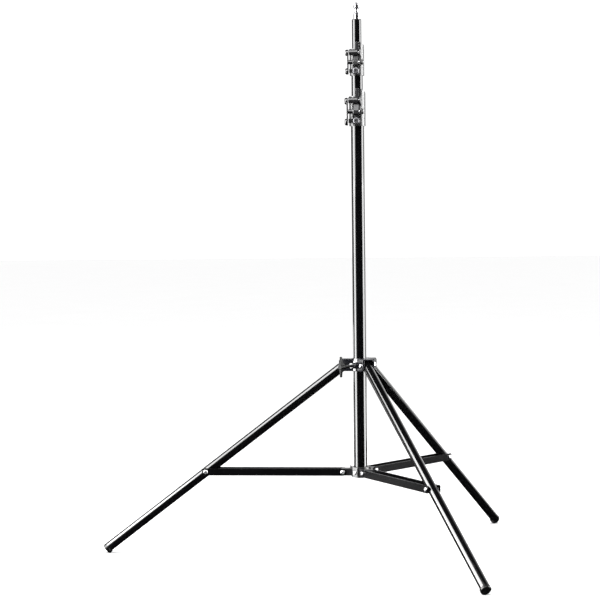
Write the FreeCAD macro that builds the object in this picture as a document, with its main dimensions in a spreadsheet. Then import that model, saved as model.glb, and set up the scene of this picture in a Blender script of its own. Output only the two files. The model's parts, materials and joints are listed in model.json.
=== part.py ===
import FreeCAD, Part
import Sketcher
import math
import os
import re

# Three-section lighting stand on a folding tripod, as one parametric document.
# Origin: on the floor under the column's axis. +Z runs up the column, and the
# left leg points along -X. Millimetres.

doc = FreeCAD.newDocument("lighting_stand")
sheet = doc.addObject("Spreadsheet::Sheet", "dims")

# Driving dimensions: alias, value, what it measures.
DIMENSIONS = [
    ("lower_radius", 17.5, "outside radius of the lower column tube"),
    ("middle_radius", 15.0, "outside radius of the middle column tube"),
    ("upper_radius", 12.5, "outside radius of the top column tube"),
    ("tube_wall", 1.5, "wall of the column tubes"),
    ("column_foot", 206.0, "height of the lower tube's bottom end"),
    ("middle_foot", 262.0, "height of the middle tube's bottom end"),
    ("upper_foot", 345.0, "height of the top tube's bottom end"),
    ("upper_end", 1393.0, "height of the top tube's top end"),
    ("slide_gap", 0.06, "radial running clearance of the tube slides"),
    ("guide_length", 26.0, "length of the plastic guides at the tube feet"),
    ("lower_clamp_base", 1119.0, "height of the lower clamp's underside"),
    ("lower_clamp_height", 77.0, "height of the lower clamp's sleeve"),
    ("upper_clamp_base", 1249.4, "height of the upper clamp's underside"),
    ("upper_clamp_height", 69.0, "height of the upper clamp's sleeve"),
    ("clamp_wall", 4.0, "wall of the clamp sleeves"),
    ("insert_wall", 1.95, "wall of the plastic clamp inserts"),
    ("ear_left", 8.5, "column's middle plane to the left face of a clamp's ears"),
    ("ear_right", 13.0, "column's middle plane to the right face of a clamp's ears"),
    ("split_left", 6.0, "column's middle plane to the saw cut in the clamp sleeves"),
    ("split_right", 8.5, "column's middle plane to the saw cut's other side"),
    ("hood_left", -2.5, "left edge of a clamp's hood"),
    ("lug_end", 12.5, "right face of the round lug on a clamp's top arm"),
    ("leg_pivot_radius", 41.5, "leg pivots to the column's axis"),
    ("leg_pivot_height", 497.0, "height of the leg pivots"),
    ("brace_pivot_radius", 46.0, "brace pivots to the column's axis"),
    ("brace_pivot_height", 218.0, "height of the brace pivots"),
    ("leg_to_brace", 460.0, "leg pivot to the brace bolt, along the leg"),
    ("leg_reach", 802.0, "leg pivot to the end of the foot, along the leg"),
    ("leg_radius", 12.5, "outside radius of a leg tube"),
    ("leg_wall", 1.2, "wall of a leg tube"),
    ("leg_overhang", 6.0, "leg tube past its pivot"),
    ("foot_radius", 13.9, "radius of a rubber foot's round pad"),
    ("foot_shift", 1.4, "how far the pad stands off the leg's axis, towards the floor"),
    ("foot_length", 10.0, "length of a foot's pad, past the leg tube"),
    ("foot_plug", 22.0, "length of a foot's plug inside the leg tube"),
    ("foot_round", 4.0, "rounding at the end of a rubber foot"),
    ("collar_low", 482.0, "height of the leg collar's underside"),
    ("collar_high", 515.0, "height of the leg collar's top"),
    ("collar_radius", 23.5, "outside radius of the leg collar's ring"),
    ("bush_wall", 0.9, "wall of the leg collar's plastic bush"),
    ("cheek_reach", 54.0, "outer end of the leg collar's cheeks"),
    ("cheek_inside", 13.2, "half the gap between two cheeks"),
    ("cheek_wall", 4.0, "thickness of a cheek"),
    ("cheek_round", 12.0, "rounding of a cheek's lower corner"),
    ("cheek_top_round", 7.0, "rounding of a cheek's upper corner"),
    ("cheek_web", 2.5, "thickness of the web across the top of two cheeks"),
    ("hub_low", 205.0, "height of the lower hub's underside"),
    ("hub_high", 231.0, "height of the lower hub's top"),
    ("hub_radius", 24.5, "outside radius of the lower hub's ring"),
    ("tongue_half", 14.3, "half the width of the hub's tongues"),
    ("tongue_round", 9.3, "rounding at the end of a tongue"),
    ("strap_inside", 14.6, "half the gap between a brace's two straps"),
    ("strap_wall", 3.0, "thickness of a brace strap"),
    ("strap_half", 9.5, "half the height of a brace strap"),
    ("bolt_radius", 3.0, "pivot bolt shank"),
    ("bolt_gap", 0.1, "radial running clearance on the pivot bolts"),
    ("bolt_head_radius", 6.0, "pivot bolt dome head"),
    ("bolt_head_height", 3.6, "height of a dome head"),
    ("bolt_dome", 2.8, "rounding of a dome head"),
    ("screw_radius", 4.0, "clamping screw shank"),
    ("knob_reach", 86.0, "leg collar's T-bar to the column's axis"),
    ("knob_half", 26.5, "half the length of the leg collar's T-bar"),
    ("spigot_radius", 8.0, "radius of the lamp stud"),
    ("spigot_neck", 5.35, "radius of the lamp stud's neck"),
    ("stud_thread", 3.175, "radius of the quarter-inch stud"),
    ("stud_root", 2.5, "radius of the stud's root inside the lamp stud"),
]
for row, (alias, value, note) in enumerate(DIMENSIONS, start=1):
    sheet.set("A%d" % row, note)
    sheet.set("B%d" % row, str(value))
    sheet.setAlias("B%d" % row, alias)
doc.recompute()
ALIASES = {alias for alias, value, note in DIMENSIONS}
LEG_AZIMUTHS = {"left": 180.0, "front": 300.0, "back": 60.0}

# Worked-out sizes, as formulas of the cells.
LEG_SLOPE = "asin((leg_pivot_height - brace_pivot_height) / leg_to_brace)"
BRACE_LENGTH = ("(leg_pivot_radius - brace_pivot_radius"
                " + leg_to_brace * cos(%s))" % LEG_SLOPE)

nodes = []


def bound(formula):
    """The formula with each alias written as a reference to its cell."""
    return re.sub(r"[a-z][a-z_]+",
                  lambda word: "dims." + word.group() if word.group() in ALIASES else word.group(),
                  formula)


def size(formula):
    """The number that a formula gives at the present sizes."""
    result = sheet.evalExpression(bound(formula))
    return float(getattr(result, "Value", result))


def new_body(label, placement=None):
    """A PartDesign body that becomes one node; placement is a formula."""
    body = doc.addObject("PartDesign::Body", label)
    body.Label = label
    body.AllowCompound = True
    if placement:
        body.setExpression("Placement", bound(placement))
    nodes.append(body)
    return body


def new_sketch(body, plane, lift=None):
    """A sketch on one of the body's origin planes, moved along its normal."""
    sketch = body.newObject("Sketcher::SketchObject", body.Label + "_sketch")
    support = [item for item in body.Origin.OriginFeatures if item.Role == plane + "_Plane"][0]
    sketch.AttachmentSupport = [(support, "")]
    sketch.MapMode = "FlatFace"
    if lift:
        sketch.setExpression("AttachmentOffset.Base.z", bound(lift))
    return sketch


def pin_point(sketch, geometry, point, across, up):
    """Hold a point of a sketch at two formulas."""
    for kind, axis, formula in (("DistanceX", -2, across), ("DistanceY", -1, up)):
        if formula == "0":
            if point == 3:
                sketch.addConstraint(Sketcher.Constraint("PointOnObject", geometry, 3, axis))
            else:
                sketch.addConstraint(Sketcher.Constraint("PointOnObject", geometry, point, axis))
        else:
            index = sketch.addConstraint(
                Sketcher.Constraint(kind, -1, 1, geometry, point, size(formula)))
            sketch.setExpression("Constraints[%d]" % index, bound(formula))


def add_outline(sketch, corners):
    """A closed outline of straight lines through corners given as formulas."""
    places = [FreeCAD.Vector(size(across), size(up), 0) for across, up in corners]
    first = sketch.GeometryCount
    count = len(corners)
    for index in range(count):
        sketch.addGeometry(Part.LineSegment(places[index], places[(index + 1) % count]), False)
    for index in range(count):
        following = first + (index + 1) % count
        sketch.addConstraint(Sketcher.Constraint("Coincident", first + index, 2, following, 1))
    for index, (across, up) in enumerate(corners):
        pin_point(sketch, first + index, 1, across, up)


def add_box(sketch, left, right, low, high):
    """A closed rectangle between formulas."""
    add_outline(sketch, [(left, low), (right, low), (right, high), (left, high)])


def add_circle(sketch, across, up, radius):
    """A circle held at two formulas."""
    centre = FreeCAD.Vector(size(across), size(up), 0)
    circle = Part.Circle(centre, FreeCAD.Vector(0, 0, 1), size(radius))
    geometry = sketch.addGeometry(circle, False)
    pin_point(sketch, geometry, 3, across, up)
    index = sketch.addConstraint(Sketcher.Constraint("Radius", geometry, size(radius)))
    sketch.setExpression("Constraints[%d]" % index, bound(radius))


def add_quarter_outline(sketch, centre, radius, quarter, places):
    """A closed outline: a quarter circle, and straight lines from its end to its start."""
    middle = FreeCAD.Vector(size(centre[0]), size(centre[1]), 0)
    circle = Part.Circle(middle, FreeCAD.Vector(0, 0, 1), size(radius))
    start = quarter * math.pi / 2
    arc = sketch.addGeometry(Part.ArcOfCircle(circle, start, start + math.pi / 2), False)
    points = [FreeCAD.Vector(size(across), size(up), 0) for across, up in places]
    lines = [sketch.addGeometry(Part.LineSegment(one, two), False)
             for one, two in zip(points, points[1:])]
    sketch.addConstraint(Sketcher.Constraint("Coincident", arc, 2, lines[0], 1))
    for one, two in zip(lines, lines[1:]):
        sketch.addConstraint(Sketcher.Constraint("Coincident", one, 2, two, 1))
    sketch.addConstraint(Sketcher.Constraint("Coincident", lines[-1], 2, arc, 1))
    for line, (across, up) in zip(lines, places):
        pin_point(sketch, line, 1, across, up)
    pin_point(sketch, arc, 1, *places[-1])
    index = sketch.addConstraint(Sketcher.Constraint("Radius", arc, size(radius)))
    sketch.setExpression("Constraints[%d]" % index, bound(radius))


def add_slot(sketch, ends, radius):
    """A stadium outline round two centres, one at each end of a straight line."""
    (across_one, up_one), (across_two, up_two) = ends
    one = FreeCAD.Vector(size(across_one), size(up_one), 0)
    two = FreeCAD.Vector(size(across_two), size(up_two), 0)
    along = (two - one).normalize()
    side = FreeCAD.Vector(-along.y, along.x, 0) * size(radius)
    turn = math.atan2(side.y, side.x)
    normal = FreeCAD.Vector(0, 0, 1)
    first = sketch.GeometryCount
    start = Part.Circle(one, normal, size(radius))
    finish = Part.Circle(two, normal, size(radius))
    sketch.addGeometry(Part.ArcOfCircle(start, turn, turn + math.pi), False)
    sketch.addGeometry(Part.LineSegment(one - side, two - side), False)
    sketch.addGeometry(Part.ArcOfCircle(finish, turn + math.pi, turn + 2 * math.pi), False)
    sketch.addGeometry(Part.LineSegment(two + side, one + side), False)
    sketch.addConstraint(Sketcher.Constraint("Tangent", first, 2, first + 1, 1))
    sketch.addConstraint(Sketcher.Constraint("Tangent", first + 1, 2, first + 2, 1))
    sketch.addConstraint(Sketcher.Constraint("Tangent", first + 2, 2, first + 3, 1))
    sketch.addConstraint(Sketcher.Constraint("Tangent", first + 3, 2, first, 1))
    pin_point(sketch, first, 3, across_one, up_one)
    pin_point(sketch, first + 2, 3, across_two, up_two)
    index = sketch.addConstraint(Sketcher.Constraint("Radius", first, size(radius)))
    sketch.setExpression("Constraints[%d]" % index, bound(radius))


def pad(body, sketch, length, both_ways=False, back=False):
    """Extrude a sketch along its normal, both ways, or backwards."""
    feature = body.newObject("PartDesign::Pad", body.Label + "_pad")
    feature.Profile = sketch
    feature.setExpression("Length", bound(length))
    feature.Midplane = both_ways
    feature.Reversed = back
    return feature


def cut(body, sketch, length, both_ways=False, along_normal=False):
    """Cut a sketch's outline out of the body; a cut that removes nothing is refused."""
    doc.recompute()
    before = body.Tip.Shape.Volume
    feature = body.newObject("PartDesign::Pocket", body.Label + "_cut")
    feature.Profile = sketch
    feature.setExpression("Length", bound(length))
    feature.Midplane = both_ways
    feature.Reversed = along_normal
    doc.recompute()
    if feature.Shape.Volume > before - 0.1:
        raise RuntimeError("a cut in %s removes nothing" % body.Label)
    return feature


def turned(label, corners, placement=None):
    """A body turned about its own Z axis from an outline of (radius, height) formulas."""
    body = new_body(label, placement)
    add_turned(body, corners)
    return body


def add_turned(body, corners):
    """Add a solid of revolution about the body's Z axis."""
    sketch = new_sketch(body, "XZ")
    add_outline(sketch, corners)
    feature = body.newObject("PartDesign::Revolution", body.Label + "_turned")
    feature.Profile = sketch
    feature.ReferenceAxis = (sketch, ["V_Axis"])
    feature.Angle = 360.0
    return feature


def three_round(body, features):
    """Repeat features three times round the column's axis."""
    axis = [item for item in body.Origin.OriginFeatures if item.Role == "Z_Axis"][0]
    pattern = body.newObject("PartDesign::PolarPattern", body.Label + "_round")
    pattern.Originals = features
    pattern.Axis = (axis, [""])
    pattern.Angle = 360.0
    pattern.Occurrences = 3
    body.Tip = pattern
    return pattern


def round_edges(body, radius, chosen):
    """Fillet the edges of the body's tip for which chosen(edge) is true."""
    doc.recompute()
    base = body.Tip
    names = ["Edge%d" % number for number, edge in enumerate(base.Shape.Edges, start=1)
             if chosen(edge)]
    feature = body.newObject("PartDesign::Fillet", body.Label + "_fillet")
    feature.Base = (base, names)
    feature.setExpression("Radius", bound(radius))
    doc.recompute()
    return feature


def rim_beyond(radius, reach):
    """A test for a circular edge of a radius whose centre is further than reach from the Z axis."""
    def test(edge):
        if not hasattr(edge.Curve, "Radius") or abs(edge.Curve.Radius - radius) > 0.01:
            return False
        return math.hypot(edge.Curve.Center.x, edge.Curve.Center.y) > reach
    return test


def bracket_side(half, reach, spared):
    """A test for an edge on the outer side of one of three brackets, sparing holes of a radius."""
    def test(edge):
        if hasattr(edge.Curve, "Radius") and edge.Curve.Radius < spared:
            return False
        points = [edge.valueAt(edge.FirstParameter), edge.valueAt(edge.LastParameter)]
        for turn in (0, 120, 240):
            along = FreeCAD.Vector(math.cos(math.radians(turn)), math.sin(math.radians(turn)), 0)
            side = FreeCAD.Vector(-along.y, along.x, 0)
            if all(point.dot(along) > reach and abs(abs(point.dot(side)) - half) < 0.01
                   for point in points):
                return True
        return False
    return test


def edge_at(axis, place, clear=0):
    """A test for an edge that lies where a coordinate has a value, with its middle clear of the Z axis."""
    def test(edge):
        middle = edge.valueAt((edge.FirstParameter + edge.LastParameter) / 2)
        points = [edge.valueAt(edge.FirstParameter), edge.valueAt(edge.LastParameter), middle]
        return (all(abs(getattr(point, axis) - place) < 0.01 for point in points)
                and math.hypot(middle.x, middle.y) > clear)
    return test


def spin(azimuth, radius="0", height="0", tilt="0"):
    """Placement formula: out at an azimuth, turned to it, and tilted from the vertical."""
    return ("placement(vector(%s * cos(%s); %s * sin(%s); %s);"
            " rotation(vector(0; 0; 1); %s) * rotation(vector(0; 1; 0); %s))"
            % (radius, azimuth, radius, azimuth, height, azimuth, tilt))


def ring_corners(inner, outer, low, high):
    """The outline of a plain ring."""
    return [(inner, low), (outer, low), (outer, high), (inner, high)]


# --- Column tubes and their plastic guides -------------------------------------

def make_column():
    turned("outer_tube", ring_corners("lower_radius - tube_wall", "lower_radius", "column_foot",
                                      "lower_clamp_base + 0.6 * lower_clamp_height"))
    turned("middle_tube", ring_corners("middle_radius - tube_wall", "middle_radius", "middle_foot",
                                       "upper_clamp_base + 0.6 * upper_clamp_height"))
    turned("top_tube", ring_corners("upper_radius - tube_wall", "upper_radius", "upper_foot",
                                    "upper_end"))
    make_guide("middle_tube_guide", "middle_foot", "middle_radius", "lower_radius")
    make_guide("top_tube_guide", "upper_foot", "upper_radius", "middle_radius")
    bore = "lower_radius - tube_wall"
    turned("column_end_plug", [
        ("0", "column_foot - 3"), ("lower_radius - 1", "column_foot - 3"),
        ("lower_radius", "column_foot - 2"), ("lower_radius", "column_foot"),
        (bore, "column_foot"), (bore, "column_foot + 12"), ("0", "column_foot + 12")])


def make_guide(label, foot, tube, outer):
    """A collar below the tube's end that runs in the next tube, with a spigot up the bore."""
    running = "%s - tube_wall - slide_gap" % outer
    bore = "%s - tube_wall" % tube
    turned(label, [
        ("%s - 2.5" % bore, "%s - 12" % foot), ("%s - 1" % running, "%s - 12" % foot),
        (running, "%s - 11" % foot), (running, foot), (bore, foot),
        (bore, "%s + guide_length - 12" % foot),
        ("%s - 2.5" % bore, "%s + guide_length - 12" % foot)])


# --- Lamp stud on top of the column ----------------------------------------------

def make_spigot():
    bore = "upper_radius - tube_wall"
    turned("top_tube_plug", [
        ("5.05", "upper_end - 32"), (bore, "upper_end - 32"), (bore, "upper_end"),
        ("upper_radius", "upper_end"), ("upper_radius", "upper_end + 1"),
        ("upper_radius - 1.2", "upper_end + 2.4"), ("5.05", "upper_end + 2.4")])
    turned("spigot", [
        ("0", "upper_end - 28"), ("5", "upper_end - 28"), ("5", "upper_end + 2.4"),
        ("spigot_radius - 0.6", "upper_end + 2.4"), ("spigot_radius - 0.6", "upper_end + 3"),
        ("spigot_radius", "upper_end + 3"), ("spigot_radius", "upper_end + 16.5"),
        ("spigot_neck", "upper_end + 19.15"), ("spigot_neck", "upper_end + 29.5"),
        ("spigot_radius - 0.6", "upper_end + 32"), ("spigot_radius", "upper_end + 32.6"),
        ("spigot_radius", "upper_end + 37.4"), ("spigot_radius - 0.8", "upper_end + 38.2"),
        ("stud_root", "upper_end + 38.2"), ("stud_root", "upper_end + 30"),
        ("0", "upper_end + 30")])
    turned("spigot_stud", [
        ("0", "upper_end + 30"), ("stud_root", "upper_end + 30"),
        ("stud_root", "upper_end + 38.8"), ("stud_thread", "upper_end + 38.8"),
        ("stud_thread", "upper_end + 45.2"), ("stud_thread - 0.8", "upper_end + 46"),
        ("0", "upper_end + 46")])


# --- Clamp collars -------------------------------------------------------------------

def make_clamp(name, base, tall, tube, inner, wing_share, lobe):
    """A split sleeve with its insert, wing screw, nut, pinch screw and fixing screw."""
    outside = "(%s + clamp_wall)" % tube
    insert = "(%s + 0.05 + insert_wall)" % inner
    shoulder = "0.6 * %s" % tall
    crest = "1.26 * %s" % tall
    at_base = "placement(vector(0; 0; %s); rotation(vector(0; 0; 1); 0))" % base
    barrel_y = "(-%s - 4.5)" % outside
    barrel_z = "0.855 * %s" % tall
    wing_y = "(-%s - 8)" % outside
    wing_z = "%s * %s" % (wing_share, tall)
    boss_z = "0.17 * %s" % tall
    arm_x = "(-%s + 0.5)" % outside

    # top arm: the barrel that stands out to the left, and the round lug on the right
    body = new_body(name + "_clamp_body", at_base)
    barrel = new_sketch(body, "YZ", arm_x)
    add_circle(barrel, barrel_y, barrel_z, "8")
    pad(body, barrel, "split_left - 0.5 - %s" % arm_x)
    round_edges(body, "1.6", edge_at("x", size(arm_x)))
    round_edges(body, "3.5", edge_at("x", size("split_left - 0.5")))
    lug = new_sketch(body, "YZ", "split_right")
    add_circle(lug, barrel_y, barrel_z, "12")
    pad(body, lug, "lug_end - split_right")
    round_edges(body, "2.5", edge_at("x", size("lug_end")))
    add_turned(body, [(tube, "0"), (outside, "0"), (outside, crest), (insert, crest),
                      (insert, shoulder), (tube, shoulder)])

    # ears for the wing screw, with a face that slopes back towards the top
    ears = new_sketch(body, "YZ", "-ear_left")
    add_outline(ears, [("-%s - 1.5" % tube, "0.36 * %s" % tall),
                       ("%s - 6" % wing_y, "0.385 * %s" % tall),
                       ("%s - 7" % wing_y, "0.41 * %s" % tall),
                       ("%s - 7" % wing_y, "0.515 * %s" % tall),
                       ("-%s - 5" % outside, "0.73 * %s" % tall),
                       ("-%s - 1.5" % tube, "0.73 * %s" % tall)])
    pad(body, ears, "ear_left + ear_right")
    round_edges(body, "1.6", edge_at("x", -size("ear_left"), size(outside) + 1))
    round_edges(body, "0.4", edge_at("x", size("ear_right"), size(outside) + 1))

    # bottom boss for the fixing screw, and the rib beside it
    boss = new_sketch(body, "XZ", "%s - 5" % tube)
    add_circle(boss, "-1", boss_z, "9.6")
    pad(body, boss, "clamp_wall + 13")
    rib = new_sketch(body, "XZ", "8")
    add_box(rib, arm_x, "-5", "0.1 * %s" % tall, "0.235 * %s" % tall)
    pad(body, rib, "%s - 3" % outside)

    # clear the bores again after the lugs
    bores = new_sketch(body, "XY")
    add_circle(bores, "0", "0", tube)
    cut(body, bores, shoulder, along_normal=True)
    upper_bore = new_sketch(body, "XY", shoulder)
    add_circle(upper_bore, "0", "0", insert)
    cut(body, upper_bore, tall, along_normal=True)

    # hood: only the front right of the sleeve rises above the rest, with a round crest
    left_side = new_sketch(body, "XZ")
    add_box(left_side, "-%s - 1" % outside, "hood_left", tall, "%s + 1" % crest)
    cut(body, left_side, "3 * %s" % outside, both_ways=True)
    behind = new_sketch(body, "YZ")
    add_box(behind, "2", "%s + 1" % outside, tall, "%s + 1" % crest)
    cut(body, behind, "3 * %s" % outside, both_ways=True)
    crest_cut = new_sketch(body, "XZ")
    add_crest(crest_cut, outside, crest)
    cut(body, crest_cut, "3 * %s" % outside, both_ways=True)

    # saw cut in front, open at the top
    split = new_sketch(body, "XZ")
    add_box(split, "split_left", "split_right", "0.3 * %s" % tall, "%s + 1" % crest)
    cut(body, split, "3 * %s" % outside, along_normal=True)

    # holes for the three screws
    holes = new_sketch(body, "YZ")
    add_circle(holes, wing_y, wing_z, "screw_radius + bolt_gap")
    add_circle(holes, barrel_y, barrel_z, "2.6")
    cut(body, holes, "4 * %s" % outside, both_ways=True)
    sinking = new_sketch(body, "YZ", arm_x)
    add_circle(sinking, barrel_y, barrel_z, "4.1")
    cut(body, sinking, "2.8", along_normal=True)
    fixing = new_sketch(body, "XZ", "%s - 6" % tube)
    add_circle(fixing, "-1", boss_z, "2.6")
    cut(body, fixing, "clamp_wall + 20", along_normal=True)

    turned(name + "_clamp_insert", ring_corners("%s + 0.05" % inner, insert,
                                                "%s + 0.3" % shoulder, tall), at_base)

    # pinch screw through the top arm, its socket head sunk in the barrel
    pinch = new_body(name + "_clamp_pinch_screw", at_base)
    head = new_sketch(pinch, "YZ", "%s + 0.2" % arm_x)
    add_circle(head, barrel_y, barrel_z, "3.95")
    pad(pinch, head, "2.6")
    shank = new_sketch(pinch, "YZ", "%s + 2.8" % arm_x)
    add_circle(shank, barrel_y, barrel_z, "2.5")
    pad(pinch, shank, "lug_end - 3.3 - %s" % arm_x)
    socket = new_sketch(pinch, "YZ", "%s + 1.8" % arm_x)
    add_hexagon(socket, barrel_y, barrel_z, "1.7")
    cut(pinch, socket, "3")

    # hexagon-socket screw that fixes the sleeve to its tube
    fixing_screw = new_body(name + "_clamp_fixing_screw", at_base)
    face = "(%s + clamp_wall + 8)" % tube
    shank = new_sketch(fixing_screw, "XZ", "%s + 0.3" % tube)
    add_circle(shank, "-1", boss_z, "2.5")
    pad(fixing_screw, shank, "%s - %s - 0.3" % (face, tube))
    head = new_sketch(fixing_screw, "XZ", face)
    add_circle(head, "-1", boss_z, "8.3")
    pad(fixing_screw, head, "4.2")
    round_edges(fixing_screw, "2.4", edge_at("y", -size(face + " + 4.2")))
    socket = new_sketch(fixing_screw, "XZ", "%s + 1.6" % face)
    add_hexagon(socket, "-1", boss_z, "2.5")
    cut(fixing_screw, socket, "5", along_normal=True)

    # wing screw: the screw, its wing, and the nut on the far ear
    at_screw = "placement(vector(0; %s; %s + %s); rotation(vector(0; 0; 1); 0))" % (
        wing_y, base, wing_z)
    screw = new_body(name + "_clamp_screw", at_screw)
    shank = new_sketch(screw, "YZ", "%s - 3.8" % arm_x)
    add_circle(shank, "0", "0", "screw_radius")
    pad(screw, shank, "ear_right + 9.3 - %s" % arm_x)
    make_wing(name, at_screw, arm_x, "0.465 * %s" % tall, lobe)
    nut = new_body(name + "_clamp_nut", at_screw)
    blank = new_sketch(nut, "YZ", "ear_right")
    add_hexagon(blank, "0", "0", "6.5")
    add_circle(blank, "0", "0", "screw_radius + bolt_gap")
    pad(nut, blank, "5")


def add_crest(sketch, outside, crest):
    """The region outside a round crest: right of it and above it."""
    radius = "0.95 * %s" % outside
    low = "%s - %s" % (crest, radius)
    far = "2 * %s" % outside
    add_quarter_outline(sketch, ("3", low), radius, 0, [
        ("3", crest), ("3", "%s + 2" % crest), (far, "%s + 2" % crest), (far, low),
        ("3 + %s" % radius, low)])


def add_hexagon(sketch, across, up, flat):
    """A regular hexagon whose flats are a distance from its centre."""
    corners = []
    for turn in range(6):
        corners.append(("%s + %s / cos(30) * cos(%d)" % (across, flat, 60 * turn + 15),
                        "%s + %s / cos(30) * sin(%d)" % (up, flat, 60 * turn + 15)))
    add_outline(sketch, corners)


def make_wing(name, place, arm_x, half, lobe):
    """The wing: a tall flat plate on a hub, with a rounded lobe at each end."""
    wing = new_body(name + "_clamp_wing", place)
    plate = "(%s - 1.6)" % arm_x
    reach = "(%s - %s)" % (half, lobe)
    blade = new_sketch(wing, "YZ", "%s - 2.6" % plate)
    add_slot(blade, [("0", reach), ("0", "-" + reach)], "%s - 0.3" % lobe)
    pad(wing, blade, "2.6")
    lobes = new_sketch(wing, "YZ", "%s - 8.5" % plate)
    add_circle(lobes, "0", reach, lobe)
    add_circle(lobes, "0", "-" + reach, lobe)
    pad(wing, lobes, "8.2")
    round_edges(wing, "4.5", edge_at("x", size(plate) - 8.5))
    hub = new_sketch(wing, "YZ", plate)
    add_circle(hub, "0", "0", "5.5")
    pad(wing, hub, "-%s - ear_left - 0.7" % plate)
    hole = new_sketch(wing, "YZ")
    add_circle(hole, "0", "0", "screw_radius")
    cut(wing, hole, "200", both_ways=True)


# --- Leg collar ------------------------------------------------------------------------

AT_COLLAR = "placement(vector(0; 0; 0); rotation(vector(0; 0; 1); 60))"


def make_leg_collar():
    """A ring with three pairs of cheeks; the pinch boss is opposite the back pair."""
    body = new_body("leg_collar", AT_COLLAR)
    add_turned(body, [
        ("lower_radius + slide_gap + bush_wall", "collar_low"), ("collar_radius - 1", "collar_low"),
        ("collar_radius", "collar_low + 1"), ("collar_radius", "collar_high - 9"),
        ("collar_radius - 3", "collar_high"),
        ("lower_radius + slide_gap + bush_wall", "collar_high")])
    cheeks = new_sketch(body, "XZ")
    add_cheek(cheeks)
    block = pad(body, cheeks, "2 * (cheek_inside + cheek_wall)", both_ways=True)
    gap = new_sketch(body, "XZ")
    add_box(gap, "collar_radius + 0.4", "cheek_reach + 1", "collar_low - 1",
            "collar_high - 0.5 - cheek_web")
    gap_cut = cut(body, gap, "2 * cheek_inside", both_ways=True)
    corner = new_sketch(body, "XZ")
    add_cheek_corner(corner)
    corner_cut = cut(body, corner, "3 * (cheek_inside + cheek_wall)", both_ways=True)
    pivot = new_sketch(body, "XZ")
    add_circle(pivot, "leg_pivot_radius", "leg_pivot_height", "bolt_radius")
    pivot_cut = cut(body, pivot, "60", both_ways=True)
    three_round(body, [block, gap_cut, corner_cut, pivot_cut])
    round_edges(body, "0.9", bracket_side(size("cheek_inside + cheek_wall"),
                                          size("collar_radius + 8"), size("bolt_radius") + 0.5))
    boss = new_sketch(body, "YZ", "-lower_radius - 3")
    add_circle(boss, "0", "leg_pivot_height", "8")
    pad(body, boss, "20", back=True)
    round_edges(body, "2.5", edge_at("x", -size("lower_radius") - 23))
    thread = new_sketch(body, "YZ", "-lower_radius")
    add_circle(thread, "0", "leg_pivot_height", "screw_radius + bolt_gap")
    cut(body, thread, "40")

    bush = new_body("leg_collar_bush", AT_COLLAR)
    add_turned(bush, ring_corners("lower_radius + slide_gap",
                                  "lower_radius + slide_gap + bush_wall",
                                  "collar_low + 0.5", "collar_high - 0.5"))
    window = new_sketch(bush, "YZ", "-lower_radius + 4")
    add_circle(window, "0", "leg_pivot_height", "screw_radius + bolt_gap")
    cut(bush, window, "10")

    bolts = new_body("leg_pivot_bolts", AT_COLLAR)
    nuts = new_body("leg_pivot_nuts", AT_COLLAR)
    make_pivot_bolts(bolts, nuts, "leg_pivot_radius", "leg_pivot_height",
                     "(cheek_inside + cheek_wall)")

    knob_place = ("placement(vector(0; 0; leg_pivot_height);"
                  " rotation(vector(0; 0; 1); 60))")
    screw = new_body("leg_collar_screw", knob_place)
    shank = new_sketch(screw, "YZ", "-lower_radius - 0.3")
    add_circle(shank, "0", "0", "screw_radius")
    pad(screw, shank, "knob_reach - lower_radius - 0.3", back=True)
    knob = new_body("leg_collar_knob", knob_place)
    bar = new_sketch(knob, "YZ", "-knob_reach - 3")
    add_outline(bar, [("-4.2", "0"), ("-1.8", "-knob_half"), ("1.8", "-knob_half"),
                      ("4.2", "0"), ("1.8", "knob_half"), ("-1.8", "knob_half")])
    pad(knob, bar, "6.5")
    round_edges(knob, "1.5", edge_at("x", -size("knob_reach") - 3))
    hub = new_sketch(knob, "YZ", "-knob_reach - 4.5")
    add_circle(hub, "0", "0", "6.5")
    pad(knob, hub, "20")
    round_edges(knob, "1.4", edge_at("x", -size("knob_reach") - 4.5))
    hole = new_sketch(knob, "YZ", "-knob_reach")
    add_circle(hole, "0", "0", "screw_radius")
    cut(knob, hole, "40", along_normal=True)


def add_cheek(sketch):
    """A cheek's side view: square to the ring, round at the outer bottom corner."""
    low = "collar_low + 0.5"
    high = "collar_high - 0.5"
    root = "lower_radius + 2"
    centre = ("cheek_reach - cheek_round", "%s + cheek_round" % low)
    add_quarter_outline(sketch, centre, "cheek_round", 3, [
        ("cheek_reach", centre[1]), ("cheek_reach", high), (root, high), (root, low),
        (centre[0], low)])


def add_cheek_corner(sketch):
    """The region outside a cheek's rounded upper corner."""
    across = "cheek_reach - cheek_top_round"
    low = "collar_high - 0.5 - cheek_top_round"
    add_quarter_outline(sketch, (across, low), "cheek_top_round", 0, [
        (across, "collar_high - 0.5"), (across, "collar_high + 2"),
        ("cheek_reach + 2", "collar_high + 2"), ("cheek_reach + 2", low), ("cheek_reach", low)])


def make_pivot_bolts(bolts, nuts, radius, height, half):
    """Three dome-headed bolts across the column's pivots, and their domed barrel nuts."""
    shank = new_sketch(bolts, "XZ")
    add_circle(shank, radius, height, "bolt_radius")
    body_pad = pad(bolts, shank, "2 * " + half, both_ways=True)
    head = new_sketch(bolts, "XZ", half)
    add_circle(head, radius, height, "bolt_head_radius")
    head_pad = pad(bolts, head, "bolt_head_height")
    three_round(bolts, [body_pad, head_pad])
    face = math.hypot(size(radius), size(half)) + 0.5
    round_edges(bolts, "bolt_dome", rim_beyond(size("bolt_head_radius"), face))
    dome = new_sketch(nuts, "XZ", "-%s" % half)
    add_circle(dome, radius, height, "bolt_head_radius")
    three_round(nuts, [pad(nuts, dome, "bolt_head_height", back=True)])
    round_edges(nuts, "bolt_dome", rim_beyond(size("bolt_head_radius"), face))


# --- Lower hub -------------------------------------------------------------------------

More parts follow.
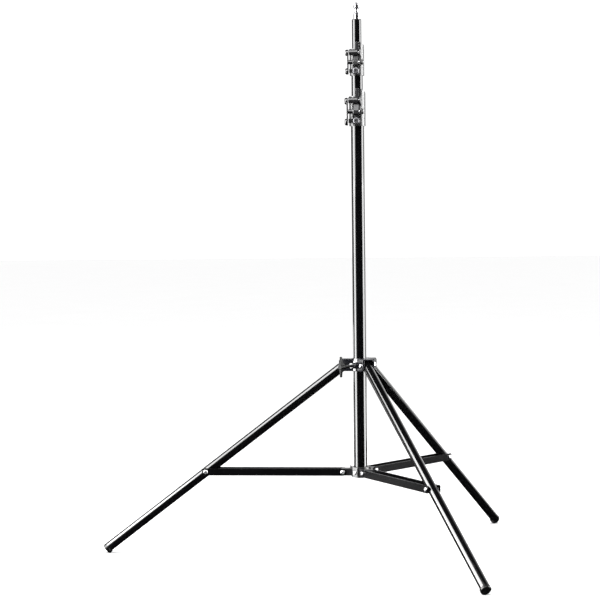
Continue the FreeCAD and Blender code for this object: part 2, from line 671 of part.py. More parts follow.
def make_lower_hub():
    """A ring with three tongues, a stop pin on each, and flats for the fixing screws."""
    body = new_body("lower_hub", AT_COLLAR)
    add_turned(body, ring_corners("lower_radius", "hub_radius", "hub_low", "hub_high"))
    tongue = new_sketch(body, "XZ")
    add_slot(tongue, [("lower_radius + 3", "brace_pivot_height"),
                      ("brace_pivot_radius", "brace_pivot_height")], "tongue_round")
    tongue_pad = pad(body, tongue, "2 * tongue_half", both_ways=True)
    pivot = new_sketch(body, "XZ")
    add_circle(pivot, "brace_pivot_radius", "brace_pivot_height", "bolt_radius")
    pivot_cut = cut(body, pivot, "60", both_ways=True)
    stop = new_sketch(body, "XY", "brace_pivot_height + 5")
    add_circle(stop, "hub_radius + 1.7", "0", "2.2")
    stop_pad = pad(body, stop, "11.5")
    flat = new_sketch(body, "YZ", "-hub_radius + 6")
    add_box(flat, "-7.5", "7.5", "hub_low", "hub_high")
    flat_pad = pad(body, flat, "8.5", back=True)
    three_round(body, [tongue_pad, pivot_cut, stop_pad, flat_pad])
    round_edges(body, "0.8", rim_beyond(size("tongue_round"), size("hub_radius + 8")))
    bore = new_sketch(body, "XY", "hub_low - 1")
    add_circle(bore, "0", "0", "lower_radius")
    cut(body, bore, "hub_high - hub_low + 2", along_normal=True)
    tapped = new_sketch(body, "YZ", "-lower_radius + 4")
    add_circle(tapped, "0", "brace_pivot_height - 1", "2.55")
    three_round(body, [cut(body, tapped, "20")])

    screws = new_body("hub_fixing_screws", AT_COLLAR)
    shank = new_sketch(screws, "YZ", "-lower_radius")
    add_circle(shank, "0", "brace_pivot_height - 1", "2.5")
    shank_pad = pad(screws, shank, "hub_radius + 2.5 - lower_radius", back=True)
    head = new_sketch(screws, "YZ", "-hub_radius - 2.5")
    add_circle(head, "0", "brace_pivot_height - 1", "4.8")
    head_pad = pad(screws, head, "3", back=True)
    three_round(screws, [shank_pad, head_pad])
    round_edges(screws, "2.2", rim_beyond(4.8, size("hub_radius + 5")))

    bolts = new_body("brace_pivot_bolts", AT_COLLAR)
    nuts = new_body("brace_pivot_nuts", AT_COLLAR)
    make_pivot_bolts(bolts, nuts, "brace_pivot_radius", "brace_pivot_height",
                     "(strap_inside + strap_wall)")


# --- Legs and braces -------------------------------------------------------------------

def make_leg(side, azimuth):
    """A leg along its own Z axis: tube, top plug, the two cross sleeves and the foot."""
    place = spin("%g" % azimuth, "leg_pivot_radius", "leg_pivot_height", "90 deg + " + LEG_SLOPE)
    bore = "leg_radius - leg_wall"
    tube = turned("leg_%s_tube" % side, ring_corners(bore, "leg_radius", "-leg_overhang",
                                                     "leg_reach - foot_length"), place)
    cross = new_sketch(tube, "XZ")
    add_circle(cross, "0", "0", "bolt_radius + 2")
    add_circle(cross, "0", "leg_to_brace", "bolt_radius + 2")
    cut(tube, cross, "60", both_ways=True)
    turned("leg_%s_plug" % side, [
        ("0", "-leg_overhang - 1"), ("leg_radius - 1", "-leg_overhang - 1"),
        ("leg_radius", "-leg_overhang"), (bore, "-leg_overhang"),
        (bore, "-bolt_radius - 2.2"), ("0", "-bolt_radius - 2.2")], place)
    sleeves = new_body("leg_%s_sleeves" % side, place)
    rings = new_sketch(sleeves, "XZ")
    for height in ("0", "leg_to_brace"):
        add_circle(rings, "0", height, "bolt_radius + 2")
        add_circle(rings, "0", height, "bolt_radius + bolt_gap")
    pad(sleeves, rings, "2 * leg_radius - 1", both_ways=True)
    foot = new_body("leg_%s_foot" % side, place)
    sole = new_sketch(foot, "XY", "leg_reach - foot_length")
    add_circle(sole, "foot_shift", "0", "foot_radius")
    pad(foot, sole, "foot_length")
    round_edges(foot, "foot_round", edge_at("z", size("leg_reach")))
    inside = new_sketch(foot, "XY", "leg_reach - foot_length - foot_plug")
    add_circle(inside, "0", "0", bore)
    pad(foot, inside, "foot_plug")


def strap_corner(tip):
    """A test for the two corners across a strap's squared outer end."""
    def test(edge):
        ends = [edge.valueAt(edge.FirstParameter), edge.valueAt(edge.LastParameter)]
        return (all(abs(point.x - tip) < 0.01 for point in ends)
                and abs(ends[0].z - ends[1].z) < 0.01)
    return test


def make_brace(side, azimuth):
    """Two flat straps from the hub's tongue to the leg, and their two outer bolts."""
    place = spin("%g" % azimuth, "brace_pivot_radius", "brace_pivot_height")
    for letter, lift in (("a", "strap_inside"), ("b", "-strap_inside - strap_wall")):
        strap = new_body("brace_%s_strap_%s" % (side, letter), place)
        outline = new_sketch(strap, "XZ", lift)
        add_slot(outline, [("0", "0"), (BRACE_LENGTH + " - 25", "0")], "strap_half")
        add_circle(outline, "0", "0", "bolt_radius + bolt_gap")
        pad(strap, outline, "strap_wall")
        end = new_sketch(strap, "XZ", lift)
        add_box(end, BRACE_LENGTH + " - 30", BRACE_LENGTH + " + strap_half",
                "-strap_half", "strap_half")
        add_circle(end, BRACE_LENGTH, "0", "bolt_radius")
        pad(strap, end, "strap_wall")
        tip = size(BRACE_LENGTH + " + strap_half")
        round_edges(strap, "4", strap_corner(tip))
    inside = "(leg_radius + 0.4)"
    for letter, sign, back in (("a", "", False), ("b", "-", True)):
        bolt = new_body("brace_%s_bolt_%s" % (side, letter), place)
        for start, length, radius in (
                (inside, "strap_inside - %s" % inside, "5"),
                ("strap_inside", "strap_wall", "bolt_radius"),
                ("(strap_inside + strap_wall)", "bolt_head_height", "bolt_head_radius")):
            disc = new_sketch(bolt, "XZ", sign + start)
            add_circle(disc, BRACE_LENGTH, "0", radius)
            pad(bolt, disc, length, back=back)
        top = size("strap_inside + strap_wall + bolt_head_height")
        round_edges(bolt, "bolt_dome", edge_at("y", top if back else -top))


make_column()
make_spigot()
make_clamp("lower", "lower_clamp_base", "lower_clamp_height", "lower_radius", "middle_radius",
           "0.474", "8.8")
make_clamp("upper", "upper_clamp_base", "upper_clamp_height", "middle_radius", "upper_radius",
           "0.49", "8.2")
make_leg_collar()
make_lower_hub()
for side, azimuth in LEG_AZIMUTHS.items():
    make_leg(side, azimuth)
    make_brace(side, azimuth)
doc.recompute()

for item in doc.Objects:
    for state in ("Invalid", "Error"):
        if state in item.State:
            raise RuntimeError("%s is %s" % (item.Label, state))
for node in nodes:
    if node.Shape.isNull() or not node.Shape.isValid():
        raise RuntimeError("%s has no valid shape" % node.Label)

os.makedirs("parts", exist_ok=True)
for old in os.listdir("parts"):
    if old.endswith(".step"):
        os.remove(os.path.join("parts", old))
for node in nodes:
    node.Shape.exportStep(os.path.join("parts", node.Label + ".step"))
print("nodes", len(nodes), "brace length %.3f" % size(BRACE_LENGTH),
      "leg slope %.4f" % size(LEG_SLOPE))
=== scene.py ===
import bpy
import bmesh
import json
import math
from mathutils import Matrix, Vector


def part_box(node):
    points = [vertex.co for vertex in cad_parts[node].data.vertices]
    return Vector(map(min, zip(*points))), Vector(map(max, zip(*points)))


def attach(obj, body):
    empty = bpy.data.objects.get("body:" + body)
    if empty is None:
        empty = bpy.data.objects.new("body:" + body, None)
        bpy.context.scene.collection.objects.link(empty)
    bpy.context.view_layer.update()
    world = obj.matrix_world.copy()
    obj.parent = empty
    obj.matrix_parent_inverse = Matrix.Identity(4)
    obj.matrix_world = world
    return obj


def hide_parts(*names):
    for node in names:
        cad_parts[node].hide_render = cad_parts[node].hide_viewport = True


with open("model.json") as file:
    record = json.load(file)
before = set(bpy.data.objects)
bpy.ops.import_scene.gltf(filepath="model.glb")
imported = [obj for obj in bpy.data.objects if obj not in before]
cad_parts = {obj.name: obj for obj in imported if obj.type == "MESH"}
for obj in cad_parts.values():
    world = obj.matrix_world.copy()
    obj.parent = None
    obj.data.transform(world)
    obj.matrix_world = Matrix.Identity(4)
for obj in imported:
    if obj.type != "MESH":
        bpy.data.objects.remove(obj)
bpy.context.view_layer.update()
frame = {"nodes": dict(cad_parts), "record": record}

scene = bpy.context.scene
NODES = frame["nodes"]
MM = 0.001


# --- Materials --------------------------------------------------------------------------

FLAT_DOT = 0.97       # dot product of the rounded and the true normal where wear starts
EDGE_DOT = 0.80       # and where an edge is fully worn
SMUDGE_SCALE = 23     # the scales of the noises, per metre
CHIP_SCALE = 420
TARNISH_SCALE = 60
BLOOM_SCALE = 45
BRUSH_SCALE = 900
SMUDGE_SPAN = (0.35, 0.70)    # the part of each noise's range that is used
CHIP_SPAN = (0.52, 0.64)
TARNISH_SPAN = (0.45, 0.75)
BLOOM_SPAN = (0.4, 0.8)
WIDE_SPAN = (0.3, 0.7)


class Shader:
    """A node material: one Principled surface, with helpers that wire detail into it."""

    def __init__(self, name):
        self.material = bpy.data.materials.new(name)
        self.material.use_nodes = True
        self.tree = self.material.node_tree
        self.surface = self.tree.nodes["Principled BSDF"]
        self.place = self.tree.nodes.new("ShaderNodeTexCoord").outputs["Object"]
        self.rounded = None

    def link(self, source, target):
        """Wire one socket to another."""
        self.tree.links.new(source, target)

    def new(self, kind, **settings):
        """A new node with its settings."""
        node = self.tree.nodes.new(kind)
        for name, value in settings.items():
            setattr(node, name, value)
        return node

    def set(self, **values):
        """Set inputs of the surface; an underscore stands for a space."""
        for name, value in values.items():
            self.surface.inputs[name.replace("_", " ")].default_value = value

    def noise(self, scale, detail=3.0, stretch=(1, 1, 1), roughness=0.55):
        """Noise over the object's own coordinates, stretched along an axis."""
        mapping = self.new("ShaderNodeMapping")
        mapping.inputs["Scale"].default_value = stretch
        self.link(self.place, mapping.inputs["Vector"])
        node = self.new("ShaderNodeTexNoise")
        node.inputs["Scale"].default_value = scale
        node.inputs["Detail"].default_value = detail
        node.inputs["Roughness"].default_value = roughness
        self.link(mapping.outputs["Vector"], node.inputs["Vector"])
        return node.outputs["Fac"]

    def remap(self, value, low, high, to_low=0.0, to_high=1.0):
        """A clamped straight-line remap."""
        node = self.new("ShaderNodeMapRange")
        self.link(value, node.inputs["Value"])
        for socket, number in (("From Min", low), ("From Max", high),
                               ("To Min", to_low), ("To Max", to_high)):
            node.inputs[socket].default_value = number
        return node.outputs["Result"]

    def mix(self, mask, one, two):
        """A colour mix; one and two are colours or sockets."""
        node = self.new("ShaderNodeMix", data_type="RGBA")
        self.link(mask, node.inputs["Factor"])
        for index, value in ((6, one), (7, two)):
            if isinstance(value, tuple):
                node.inputs[index].default_value = (*value, 1)
            else:
                self.link(value, node.inputs[index])
        return node.outputs[2]

    def math(self, operation, one, two):
        """A maths node; one and two are numbers or sockets."""
        node = self.new("ShaderNodeMath", operation=operation)
        for index, value in ((0, one), (1, two)):
            if isinstance(value, (int, float)):
                node.inputs[index].default_value = value
            else:
                self.link(value, node.inputs[index])
        return node.outputs[0]

    def bump(self, height, strength, distance):
        """Shade the surface as if a height lay on it, and round its edges if edges() was used."""
        node = self.new("ShaderNodeBump")
        node.inputs["Strength"].default_value = strength
        node.inputs["Distance"].default_value = distance
        self.link(height, node.inputs["Height"])
        if self.rounded:
            self.link(self.rounded, node.inputs["Normal"])
        self.link(node.outputs["Normal"], self.surface.inputs["Normal"])

    def edges(self, radius):
        """A mask that is 1 on sharp edges, which also rounds the edges that bump() shades."""
        bevel = self.new("ShaderNodeBevel", samples=4)
        bevel.inputs["Radius"].default_value = radius
        self.rounded = bevel.outputs["Normal"]
        geometry = self.new("ShaderNodeNewGeometry")
        dot = self.new("ShaderNodeVectorMath", operation="DOT_PRODUCT")
        self.link(bevel.outputs["Normal"], dot.inputs[0])
        self.link(geometry.outputs["Normal"], dot.inputs[1])
        return self.remap(dot.outputs["Value"], FLAT_DOT, EDGE_DOT)


def painted(name, base, rough, grain, grain_height, worn, wear_radius, specular=0.5):
    """Paint or coating over metal: orange peel, smudges, and edges rubbed to a paler tone."""
    shader = Shader(name)
    shader.set(Specular_IOR_Level=specular)
    smudges = shader.noise(SMUDGE_SCALE, detail=5)
    shader.link(shader.remap(smudges, *SMUDGE_SPAN, *rough),
                shader.surface.inputs["Roughness"])
    tone = shader.mix(smudges, base, tuple(value * 1.5 for value in base))
    chips = shader.remap(shader.noise(CHIP_SCALE, detail=4), *CHIP_SPAN)
    rubbed = shader.math("MULTIPLY", shader.edges(wear_radius), chips)
    shader.link(shader.mix(rubbed, tone, worn), shader.surface.inputs["Base Color"])
    shader.bump(shader.noise(grain, detail=2), 0.35, grain_height)
    return shader.material


def bare_metal(name, base, rough, brush):
    """Plated or turned metal with fine lines and a little tarnish."""
    shader = Shader(name)
    shader.set(Metallic=1.0)
    lines = shader.noise(BRUSH_SCALE, detail=2, stretch=brush)
    dull = shader.noise(TARNISH_SCALE, detail=5)
    shader.link(shader.remap(lines, *WIDE_SPAN, *rough),
                shader.surface.inputs["Roughness"])
    shader.link(shader.mix(shader.remap(dull, *TARNISH_SPAN), base,
                           tuple(value * 0.72 for value in base)),
                shader.surface.inputs["Base Color"])
    shader.bump(lines, 0.15, 0.00004)
    return shader.material


def moulded(name, base, rough, grain, grain_height, specular=0.4):
    """Plastic or rubber straight from the mould: an even grain and a faint bloom."""
    shader = Shader(name)
    shader.set(Specular_IOR_Level=specular)
    bloom = shader.noise(BLOOM_SCALE, detail=6)
    shader.link(shader.mix(shader.remap(bloom, *BLOOM_SPAN), base,
                           tuple(value * 1.8 + 0.002 for value in base)),
                shader.surface.inputs["Base Color"])
    shader.link(shader.remap(bloom, *WIDE_SPAN, *rough),
                shader.surface.inputs["Roughness"])
    shader.bump(shader.noise(grain, detail=3), 0.4, grain_height)
    return shader.material


WORN_PAINT = (0.09, 0.09, 0.095)
tube_paint = painted("tube_gloss_black", (0.0016, 0.0016, 0.0018), (0.08, 0.13), 700, 0.00002,
                     WORN_PAINT, 0.0005)
leg_paint = painted("leg_gloss_black", (0.0016, 0.0016, 0.0018), (0.09, 0.15), 700, 0.00002,
                    WORN_PAINT, 0.0005)
collar_paint = painted("collar_satin_black", (0.006, 0.006, 0.0085), (0.15, 0.21), 1300,
                       0.00004, (0.11, 0.11, 0.12), 0.0009, specular=1.0)
casting_paint = painted("casting_satin_black", (0.006, 0.006, 0.007), (0.30, 0.38), 1300,
                        0.00004, (0.11, 0.11, 0.12), 0.0009, specular=0.9)
wing_paint = painted("wing_gloss_black", (0.004, 0.004, 0.0045), (0.22, 0.29), 1000, 0.00003,
                     (0.15, 0.15, 0.16), 0.0009, specular=1.0)
knob_paint = painted("knob_satin_black", (0.003, 0.003, 0.003), (0.30, 0.40), 1000, 0.00003,
                     (0.06, 0.06, 0.06), 0.0006, specular=0.12)
strap_paint = painted("strap_satin_black", (0.0015, 0.0015, 0.0018), (0.22, 0.27), 1500, 0.00003,
                      (0.10, 0.10, 0.105), 0.0007, specular=0.12)
oxide_steel = painted("screw_black_oxide", (0.006, 0.006, 0.006), (0.28, 0.40), 1600, 0.00002,
                      (0.20, 0.20, 0.20), 0.0003, specular=0.4)
bolt_zinc = bare_metal("bolt_bright_zinc", (0.86, 0.86, 0.87), (0.26, 0.38), (1, 1, 1))
cap_steel = bare_metal("cap_screw_grey_zinc", (0.20, 0.20, 0.21), (0.30, 0.42), (1, 1, 1))
stud_steel = bare_metal("stud_turned_steel", (0.24, 0.24, 0.25), (0.16, 0.28), (0.15, 0.15, 3.0))
plug_plastic = moulded("plug_black_plastic", (0.006, 0.006, 0.006), (0.34, 0.46), 1600, 0.00003)
guide_nylon = moulded("guide_black_nylon", (0.010, 0.010, 0.010), (0.38, 0.50), 1400, 0.00003)
foot_rubber = moulded("foot_black_rubber", (0.0025, 0.0025, 0.0025), (0.20, 0.30), 1100, 0.00004,
                      specular=0.25)

FINISHES = [
    (("outer_tube", "middle_tube", "top_tube"), tube_paint),
    (("leg_left_tube", "leg_front_tube", "leg_back_tube"), leg_paint),
    (("lower_clamp_body", "upper_clamp_body", "lower_hub"), casting_paint),
    (("leg_collar",), collar_paint),
    (("lower_clamp_wing", "upper_clamp_wing"), wing_paint),
    (("leg_collar_knob",), knob_paint),
    (("leg_collar_screw", "leg_pivot_nuts", "lower_clamp_nut", "upper_clamp_nut"), oxide_steel),
    (("lower_clamp_fixing_screw", "upper_clamp_fixing_screw"), cap_steel),
    (("_strap_",), strap_paint),
    (("_screw", "_screws", "_nut", "_nuts", "_bolts", "_bolt_"), bolt_zinc),
    (("spigot", "spigot_stud"), stud_steel),
    (("_foot",), foot_rubber),
    (("_guide", "_insert", "_bush", "_sleeves"), guide_nylon),
    (("_plug",), plug_plastic),
]


def finish_for(name):
    """The material of a CAD node: an exact name first, then the first matching part of one."""
    for keys, material in FINISHES:
        if name in keys:
            return material
    for keys, material in FINISHES:
        if any(key in name for key in keys):
            return material
    raise RuntimeError("no finish for " + name)


def coat(piece, material):
    """Give a piece one material."""
    piece.data.materials.clear()
    piece.data.materials.append(material)


for name, node in NODES.items():
    coat(node, finish_for(name))


# --- Turned and threaded detail ---------------------------------------------------------

ROUND = 48            # points round a ring; a multiple of six, so hexagons keep their corners
RECORD = frame["record"]
JOINTS = {joint["name"]: joint for joint in RECORD["behaviour"]["joints"]}
MOUNTS = {mount["name"]: mount for mount in RECORD["mounts"]}
SIDES = ("left", "front", "back")
SEAT_GAP = 0.04 * MM  # under a bolt's head, so that a turning strap runs clear of it
SOCKET_CHAMFER = 0.15 * MM
SOCKET_DEPTH = 0.55   # of the head's height
SMOOTH_ANGLE = math.radians(40)
DOME_STEPS = 6        # steps of a dome's rounding
FOOT_STEPS = 8        # and of a foot's
THREAD_STEPS = 10     # steps to one turn of thread
THREAD_CREST = 1.3    # how flat a thread's crest is; 1 would be sharp


def circle(radius, height):
    """A ring of points about the local Z axis."""
    turns = [2 * math.pi * index / ROUND for index in range(ROUND)]
    return [Vector((radius * math.cos(turn), radius * math.sin(turn), height)) for turn in turns]


def hexagon(flat, height):
    """A ring of points on a hexagon whose flats are a distance from its centre."""
    points = []
    for index in range(ROUND):
        turn = 2 * math.pi * index / ROUND
        away = flat / math.cos(turn % (math.pi / 3) - math.pi / 6)
        points.append(Vector((away * math.cos(turn), away * math.sin(turn), height)))
    return points


def thread(radius, depth, pitch, low, high):
    """Rings of a screw thread that fades out at both of its ends."""
    steps = round((high - low) / pitch * THREAD_STEPS)
    rings = []
    for step in range(steps + 1):
        height = low + (high - low) * step / steps
        fade = min(1, (height - low) / pitch, (high - height) / pitch)
        ring = []
        for point in circle(1, height):
            turn = math.atan2(point.y, point.x) / (2 * math.pi)
            crest = 1 - abs(2 * ((height / pitch - turn) % 1) - 1)
            away = radius - depth + depth * min(1, THREAD_CREST * crest) * fade
            ring.append(Vector((away * point.x, away * point.y, height)))
        rings.append(ring)
    return rings


def dome_head(shank_radius, shank, radius, height, dome, flat):
    """Rings of a dome-headed bolt with a hexagon socket; its head sits just off height zero."""
    rings = [circle(shank_radius, -shank), circle(shank_radius, SEAT_GAP),
             circle(radius, SEAT_GAP), circle(radius, height - dome)]
    for step in range(1, DOME_STEPS + 1):
        turn = math.pi / 2 * step / DOME_STEPS
        rings.append(circle(radius - dome + dome * math.cos(turn),
                            height - dome + dome * math.sin(turn)))
    rings.append(hexagon(flat + SOCKET_CHAMFER, height))
    rings.append(hexagon(flat, height - SOCKET_CHAMFER))
    rings.append(hexagon(flat, height - SOCKET_DEPTH * height))
    return rings


def add_rings(work, rings, place):
    """Join successive rings into a closed skin, moved to a place."""
    rows = [[work.verts.new(place @ point) for point in ring] for ring in rings]
    for low, high in zip(rows, rows[1:]):
        for index in range(ROUND):
            after = (index + 1) % ROUND
            work.faces.new((low[index], low[after], high[after], high[index]))
    work.faces.new(list(reversed(rows[0])))
    work.faces.new(rows[-1])


def pointing(origin, direction):
    """A placement at a point whose local Z axis runs along a direction."""
    turn = Vector(direction).to_track_quat("Z", "Y").to_matrix().to_4x4()
    return Matrix.Translation(Vector(origin)) @ turn


def detailed(node, body, skins):
    """A detailed piece, made of (rings, place) skins, that stands for a CAD node."""
    work = bmesh.new()
    for rings, place in skins:
        add_rings(work, rings, place)
    mesh = bpy.data.meshes.new(node + "_detail")
    work.to_mesh(mesh)
    work.free()
    for face in mesh.polygons:
        face.use_smooth = True
    mesh.set_sharp_from_angle(angle=SMOOTH_ANGLE)
    piece = bpy.data.objects.new(node + "_detail", mesh)
    scene.collection.objects.link(piece)
    coat(piece, finish_for(node))
    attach(piece, body)
    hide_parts(node)


def outward(side):
    """Unit vector from the column along a leg, level."""
    place = Vector(JOINTS["leg_%s_fold" % side]["pos_m"])
    return Vector((place.x, place.y, 0)).normalized()


def across(side):
    """Unit vector along a leg's pivots, towards the bolts' heads."""
    return outward(side).cross(Vector((0, 0, 1)))


BOLT = {"shank_radius": 3.0 * MM, "radius": 6.0 * MM, "height": 3.6 * MM, "dome": 2.8 * MM,
        "flat": 1.9 * MM}
HUB_SCREW = {"shank_radius": 2.5 * MM, "radius": 4.8 * MM, "height": 3.0 * MM, "dome": 2.2 * MM,
             "flat": 1.5 * MM}
CHEEK_HALF = 17.2 * MM        # middle of a leg bracket to its outer face
STRAP_HALF = 17.6 * MM        # middle of a brace to its straps' outer faces
STRAP_WALL = 3.0 * MM
NUT_SHANK = 0.5 * MM          # a domed nut's run into its cheek
BOLT_TIP = 1.7 * MM           # a shoulder bolt's run past its strap
HUB_SCREW_SHANK = 9.0 * MM
HUB_FACE = 27.0 * MM          # the column's axis to the face under a hub screw's head


def make_pivots(kind, half, bolts, nuts, body):
    """The bolts and domed nuts of three pivots; the joints say where they are."""
    heads = []
    domes = []
    for side in SIDES:
        centre = Vector(JOINTS["%s_%s_fold" % (kind, side)]["pos_m"])
        away = across(side)
        heads.append((dome_head(shank=2 * half, **BOLT), pointing(centre + away * half, away)))
        domes.append((dome_head(shank=NUT_SHANK, **BOLT), pointing(centre - away * half, -away)))
    detailed(bolts, body, heads)
    detailed(nuts, body, domes)


def make_brace_bolts(side):
    """The two shoulder bolts at a brace's outer end."""
    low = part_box("brace_%s_bolt_a" % side)
    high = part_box("brace_%s_bolt_b" % side)
    centre = sum((corner for box in (low, high) for corner in map(Vector, box)), Vector()) / 4
    for letter, sign in (("a", 1), ("b", -1)):
        away = across(side) * sign
        detailed("brace_%s_bolt_%s" % (side, letter), "brace_" + side,
                 [(dome_head(shank=STRAP_WALL + BOLT_TIP, **BOLT),
                   pointing(centre + away * STRAP_HALF, away))])


def make_hub_screws():
    """The three screws that hold the hub, between its tongues."""
    lowest, highest = map(Vector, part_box("hub_fixing_screws"))
    height = (lowest.z + highest.z) / 2
    skins = []
    for side in SIDES:
        away = -outward(side)
        skins.append((dome_head(shank=HUB_SCREW_SHANK, **HUB_SCREW),
                      pointing(away * HUB_FACE + Vector((0, 0, height)), away)))
    detailed("hub_fixing_screws", "column", skins)


THREAD_DEPTH = 0.55 * MM
STUD_PITCH = 1.27 * MM        # twenty turns to the inch
STUD_NECK = 2.5 * MM
STUD_START = 8.8 * MM         # the stud's foot to its first turn
STUD_CHAMFER = 0.3 * MM
STUD_TIP = 0.9 * MM           # how much smaller the tip's radius is than the thread's
KNOB_SCREW_RADIUS = 4.0 * MM
KNOB_SCREW_PITCH = 1.25 * MM
KNOB_SCREW_INNER = 17.8 * MM  # the column's axis to the screw's ends
KNOB_SCREW_OUTER = 86.0 * MM


def make_threads():
    """The quarter-inch stud on the spigot, and the leg collar's clamping screw."""
    mount = MOUNTS["spigot_thread"]
    radius = mount["dims"]["r_mm"] * MM
    lowest, highest = map(Vector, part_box("spigot_stud"))
    foot = lowest.z
    tall = highest.z - foot
    rings = [circle(STUD_NECK, 0), circle(STUD_NECK, STUD_START)]
    rings += thread(radius, THREAD_DEPTH, STUD_PITCH, STUD_START, tall - STUD_CHAMFER)
    rings.append(circle(radius - STUD_TIP, tall))
    detailed("spigot_stud", "top_mast", [(rings, pointing((0, 0, foot), (0, 0, 1)))])
    axis = Vector(JOINTS["knob_turn"]["axis"])
    height = JOINTS["knob_turn"]["pos_m"][2]
    detailed("leg_collar_screw", "slider_knob",
             [(thread(KNOB_SCREW_RADIUS, THREAD_DEPTH, KNOB_SCREW_PITCH,
                      KNOB_SCREW_INNER, KNOB_SCREW_OUTER),
               pointing((0, 0, height), -axis))])


LEG_TO_BRACE = 460.0 * MM     # leg pivot to the brace's bolt, along the leg
LEG_REACH = 802.0 * MM        # leg pivot to the end of the foot, along the leg
FOOT_LENGTH = 10.0 * MM       # a foot's pad, past the leg tube
FOOT_RADIUS = 13.9 * MM
FOOT_ROUND = 4.0 * MM
FOOT_SHIFT = 1.4 * MM         # the pad's axis off the leg's axis, towards the floor
PLUG_RADIUS = 11.3 * MM       # a foot's plug, inside the leg tube
PLUG_LENGTH = 22.0 * MM
PLUG_ROOT = 1.0 * MM          # how far the plug runs into the pad
GROOVE_AT = 3.4 * MM          # the grip groove, from the top of the pad
GROOVE_DEPTH = 0.5 * MM
GROOVE_HALF = 0.7 * MM        # half its width at the mouth; its floor is half as wide
PAD_CHAMFER = 0.6 * MM


def make_foot(side):
    """A moulded rubber foot: a pad set towards the floor, with a grip groove, and its plug."""
    floor_radius = FOOT_RADIUS - GROOVE_DEPTH
    outline = [(FOOT_RADIUS - PAD_CHAMFER, 0), (FOOT_RADIUS, PAD_CHAMFER),
               (FOOT_RADIUS, GROOVE_AT - GROOVE_HALF), (floor_radius, GROOVE_AT - GROOVE_HALF / 2),
               (floor_radius, GROOVE_AT + GROOVE_HALF / 2), (FOOT_RADIUS, GROOVE_AT + GROOVE_HALF)]
    for step in range(FOOT_STEPS + 1):
        turn = math.pi / 2 * step / FOOT_STEPS
        outline.append((FOOT_RADIUS - FOOT_ROUND + FOOT_ROUND * math.cos(turn),
                        FOOT_LENGTH - FOOT_ROUND + FOOT_ROUND * math.sin(turn)))
    pad = [circle(away, height) for away, height in outline]
    plug = [circle(PLUG_RADIUS, -PLUG_LENGTH), circle(PLUG_RADIUS, PLUG_ROOT)]
    pivot = Vector(JOINTS["leg_%s_fold" % side]["pos_m"])
    rise = pivot.z - JOINTS["brace_%s_fold" % side]["pos_m"][2]
    slope = math.asin(rise / LEG_TO_BRACE)
    along = outward(side) * math.cos(slope) - Vector((0, 0, math.sin(slope)))
    downward = -outward(side) * math.sin(slope) - Vector((0, 0, math.cos(slope)))
    top = pivot + along * (LEG_REACH - FOOT_LENGTH)
    detailed("leg_%s_foot" % side, "leg_" + side,
             [(pad, pointing(top + downward * FOOT_SHIFT, along)), (plug, pointing(top, along))])


make_pivots("leg", CHEEK_HALF, "leg_pivot_bolts", "leg_pivot_nuts", "leg_slider")
make_pivots("brace", STRAP_HALF, "brace_pivot_bolts", "brace_pivot_nuts", "column")
make_hub_screws()
make_threads()
for side in SIDES:
    make_brace_bolts(side)
    make_foot(side)


# --- Floor, light and camera ------------------------------------------------------------

VIEW_TURN = 4.669     # degrees from the camera's front to the object's front
WORLD_GLOW = 1.12


def facing(azimuth):
    """Unit vector from the column towards an azimuth; 0 is the camera and left is negative."""
    angle = math.radians(azimuth + VIEW_TURN)
    return Vector((math.sin(angle), -math.cos(angle), 0))


def add_light(name, shape, energy, place, toward):
    """An area light at a place that shines along a direction and isn't seen by the camera."""
    light = bpy.data.lights.new(name, "AREA")
    light.shape = shape
    light.energy = energy
    lamp = bpy.data.objects.new(name, light)
    lamp.location = place
    lamp.rotation_mode = "QUATERNION"
    lamp.rotation_quaternion = toward.to_track_quat("-Z", "Y")
    lamp.visible_camera = False
    scene.collection.objects.link(lamp)
    return lamp


def add_softbox(name, wide, tall, radiance, place, toward):
    """A rectangular light that shows in reflections only."""
    lamp = add_light(name, "RECTANGLE", radiance * math.pi * wide * tall, place, toward)
    lamp.data.size = wide
    lamp.data.size_y = tall
    lamp.visible_diffuse = False


# Upright panels round the column: name, first and last azimuth in degrees, distance,
# lowest and highest edge, and radiance.
PANELS = [
    ("left_softbox_low", -91, -60, 1.6, 0.0, 1.0, 20),
    ("left_softbox_low_edge", -60, -50, 1.6, 0.0, 1.0, 2.5),
    ("left_softbox_middle", -91, -57, 2.5, 1.0, 1.8, 20),
    ("left_softbox_middle_edge", -57, -46, 2.5, 1.0, 1.8, 9),
    ("left_softbox_high", -91, -37, 2.5, 1.8, 3.4, 19),
    ("right_softbox_low", 70, 103, 1.6, 0.0, 1.0, 17),
    ("right_softbox", 71, 103, 2.5, 1.0, 2.8, 16),
    ("right_side_softbox", 103, 122, 2.5, 0.0, 1.75, 1.2),
    ("right_back_panel", 122, 160, 2.8, 0.0, 1.75, 2.2),
    ("right_high_panel", 103, 155, 2.6, 1.75, 3.4, 1.2),
    ("back_panel", 160, 210, 3.0, 0.0, 2.6, 0.8),
    ("left_side_panel", -118, -91, 2.8, 0.0, 2.8, 0.3),
    ("left_back_panel", -142, -118, 2.8, 0.0, 2.8, 0.8),
    ("left_strap_panel", -142, -114, 1.2, 0.0, 0.3, 0.7),
    ("left_bracket_panel", -140, -116, 1.2, 0.36, 0.54, 4.5),
]
for name, start, end, distance, low, high, radiance in PANELS:
    half_angle = math.radians((end - start) / 2)
    away = facing((start + end) / 2)
    add_softbox(name, 2 * distance * math.tan(half_angle), high - low, radiance,
                away * distance + Vector((0, 0, (low + high) / 2)), -away)

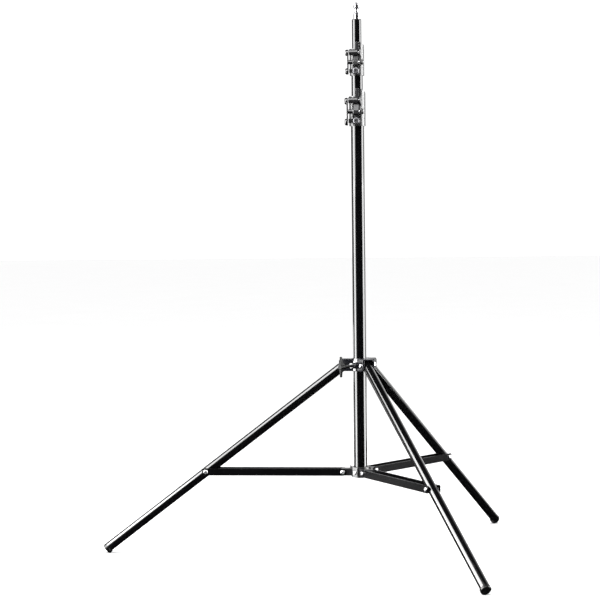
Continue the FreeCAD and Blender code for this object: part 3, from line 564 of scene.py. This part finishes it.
TOP_FRONT_AZIMUTH = -4
TOP_FRONT_TILT = math.radians(50)
TOP_FRONT_DISTANCE = 2.8
TOP_FRONT_WIDE = 2.2
TOP_FRONT_TALL = 1.5
TOP_FRONT_RADIANCE = 9
TOP_FRONT_AIM = Vector((0, 0, 0.9))
toward_top = (facing(TOP_FRONT_AZIMUTH) * math.cos(TOP_FRONT_TILT)
              + Vector((0, 0, math.sin(TOP_FRONT_TILT))))
add_softbox("top_front_softbox", TOP_FRONT_WIDE, TOP_FRONT_TALL, TOP_FRONT_RADIANCE,
            TOP_FRONT_AIM + toward_top * TOP_FRONT_DISTANCE, -toward_top)

OVERHEAD_SIZE = 3.2
OVERHEAD_ENERGY = 260
OVERHEAD_PLACE = Vector((-0.8, -1.2, 4.2))
OVERHEAD_AIM = Vector((0, 0, 0.6))
overhead = add_light("overhead_softbox", "DISK", OVERHEAD_ENERGY, OVERHEAD_PLACE,
                     OVERHEAD_AIM - OVERHEAD_PLACE)
overhead.data.size = OVERHEAD_SIZE
overhead.visible_glossy = False

world = bpy.data.worlds.new("white_room")
world.use_nodes = True
sky = world.node_tree.nodes["Background"]
sky.inputs["Color"].default_value = (1, 1, 1, 1)
sky.inputs["Strength"].default_value = WORLD_GLOW
world.cycles_visibility.glossy = False
scene.world = world

FLOOR_REACH = 40.0
corners = [(x * FLOOR_REACH, y * FLOOR_REACH, 0) for x, y in ((-1, -1), (1, -1), (1, 1), (-1, 1))]
floor_mesh = bpy.data.meshes.new("floor")
floor_mesh.from_pydata(corners, [], [(0, 1, 2, 3)])
floor = bpy.data.objects.new("floor", floor_mesh)
scene.collection.objects.link(floor)
paper = Shader("floor_white_paper")
paper.set(Roughness=0.9, Specular_IOR_Level=0.1)
paper.link(paper.mix(paper.noise(2), (0.90, 0.90, 0.90), (0.93, 0.93, 0.93)),
           paper.surface.inputs["Base Color"])
coat(floor, paper.material)
floor.visible_glossy = False

CAMERA_LENS = 128.13
CAMERA_SENSOR = 36.0
CAMERA_FAR = 200.0
CAMERA_PLACE = (0.4529, -5.5456, 0.8857)
CAMERA_PITCH = 2.236
CAMERA_HEADING = 1.589 + VIEW_TURN
CAMERA_ROLL = -0.603
camera_data = bpy.data.cameras.new("camera")
camera_data.lens = CAMERA_LENS
camera_data.sensor_width = CAMERA_SENSOR
camera_data.clip_end = CAMERA_FAR
camera = bpy.data.objects.new("camera", camera_data)
camera.matrix_world = (Matrix.Translation(CAMERA_PLACE)
                       @ Matrix.Rotation(math.radians(CAMERA_HEADING), 4, "Z")
                       @ Matrix.Rotation(math.radians(90 - CAMERA_PITCH), 4, "X")
                       @ Matrix.Rotation(math.radians(CAMERA_ROLL), 4, "Z"))
scene.collection.objects.link(camera)
scene.camera = camera
scene.view_settings.view_transform = "Standard"
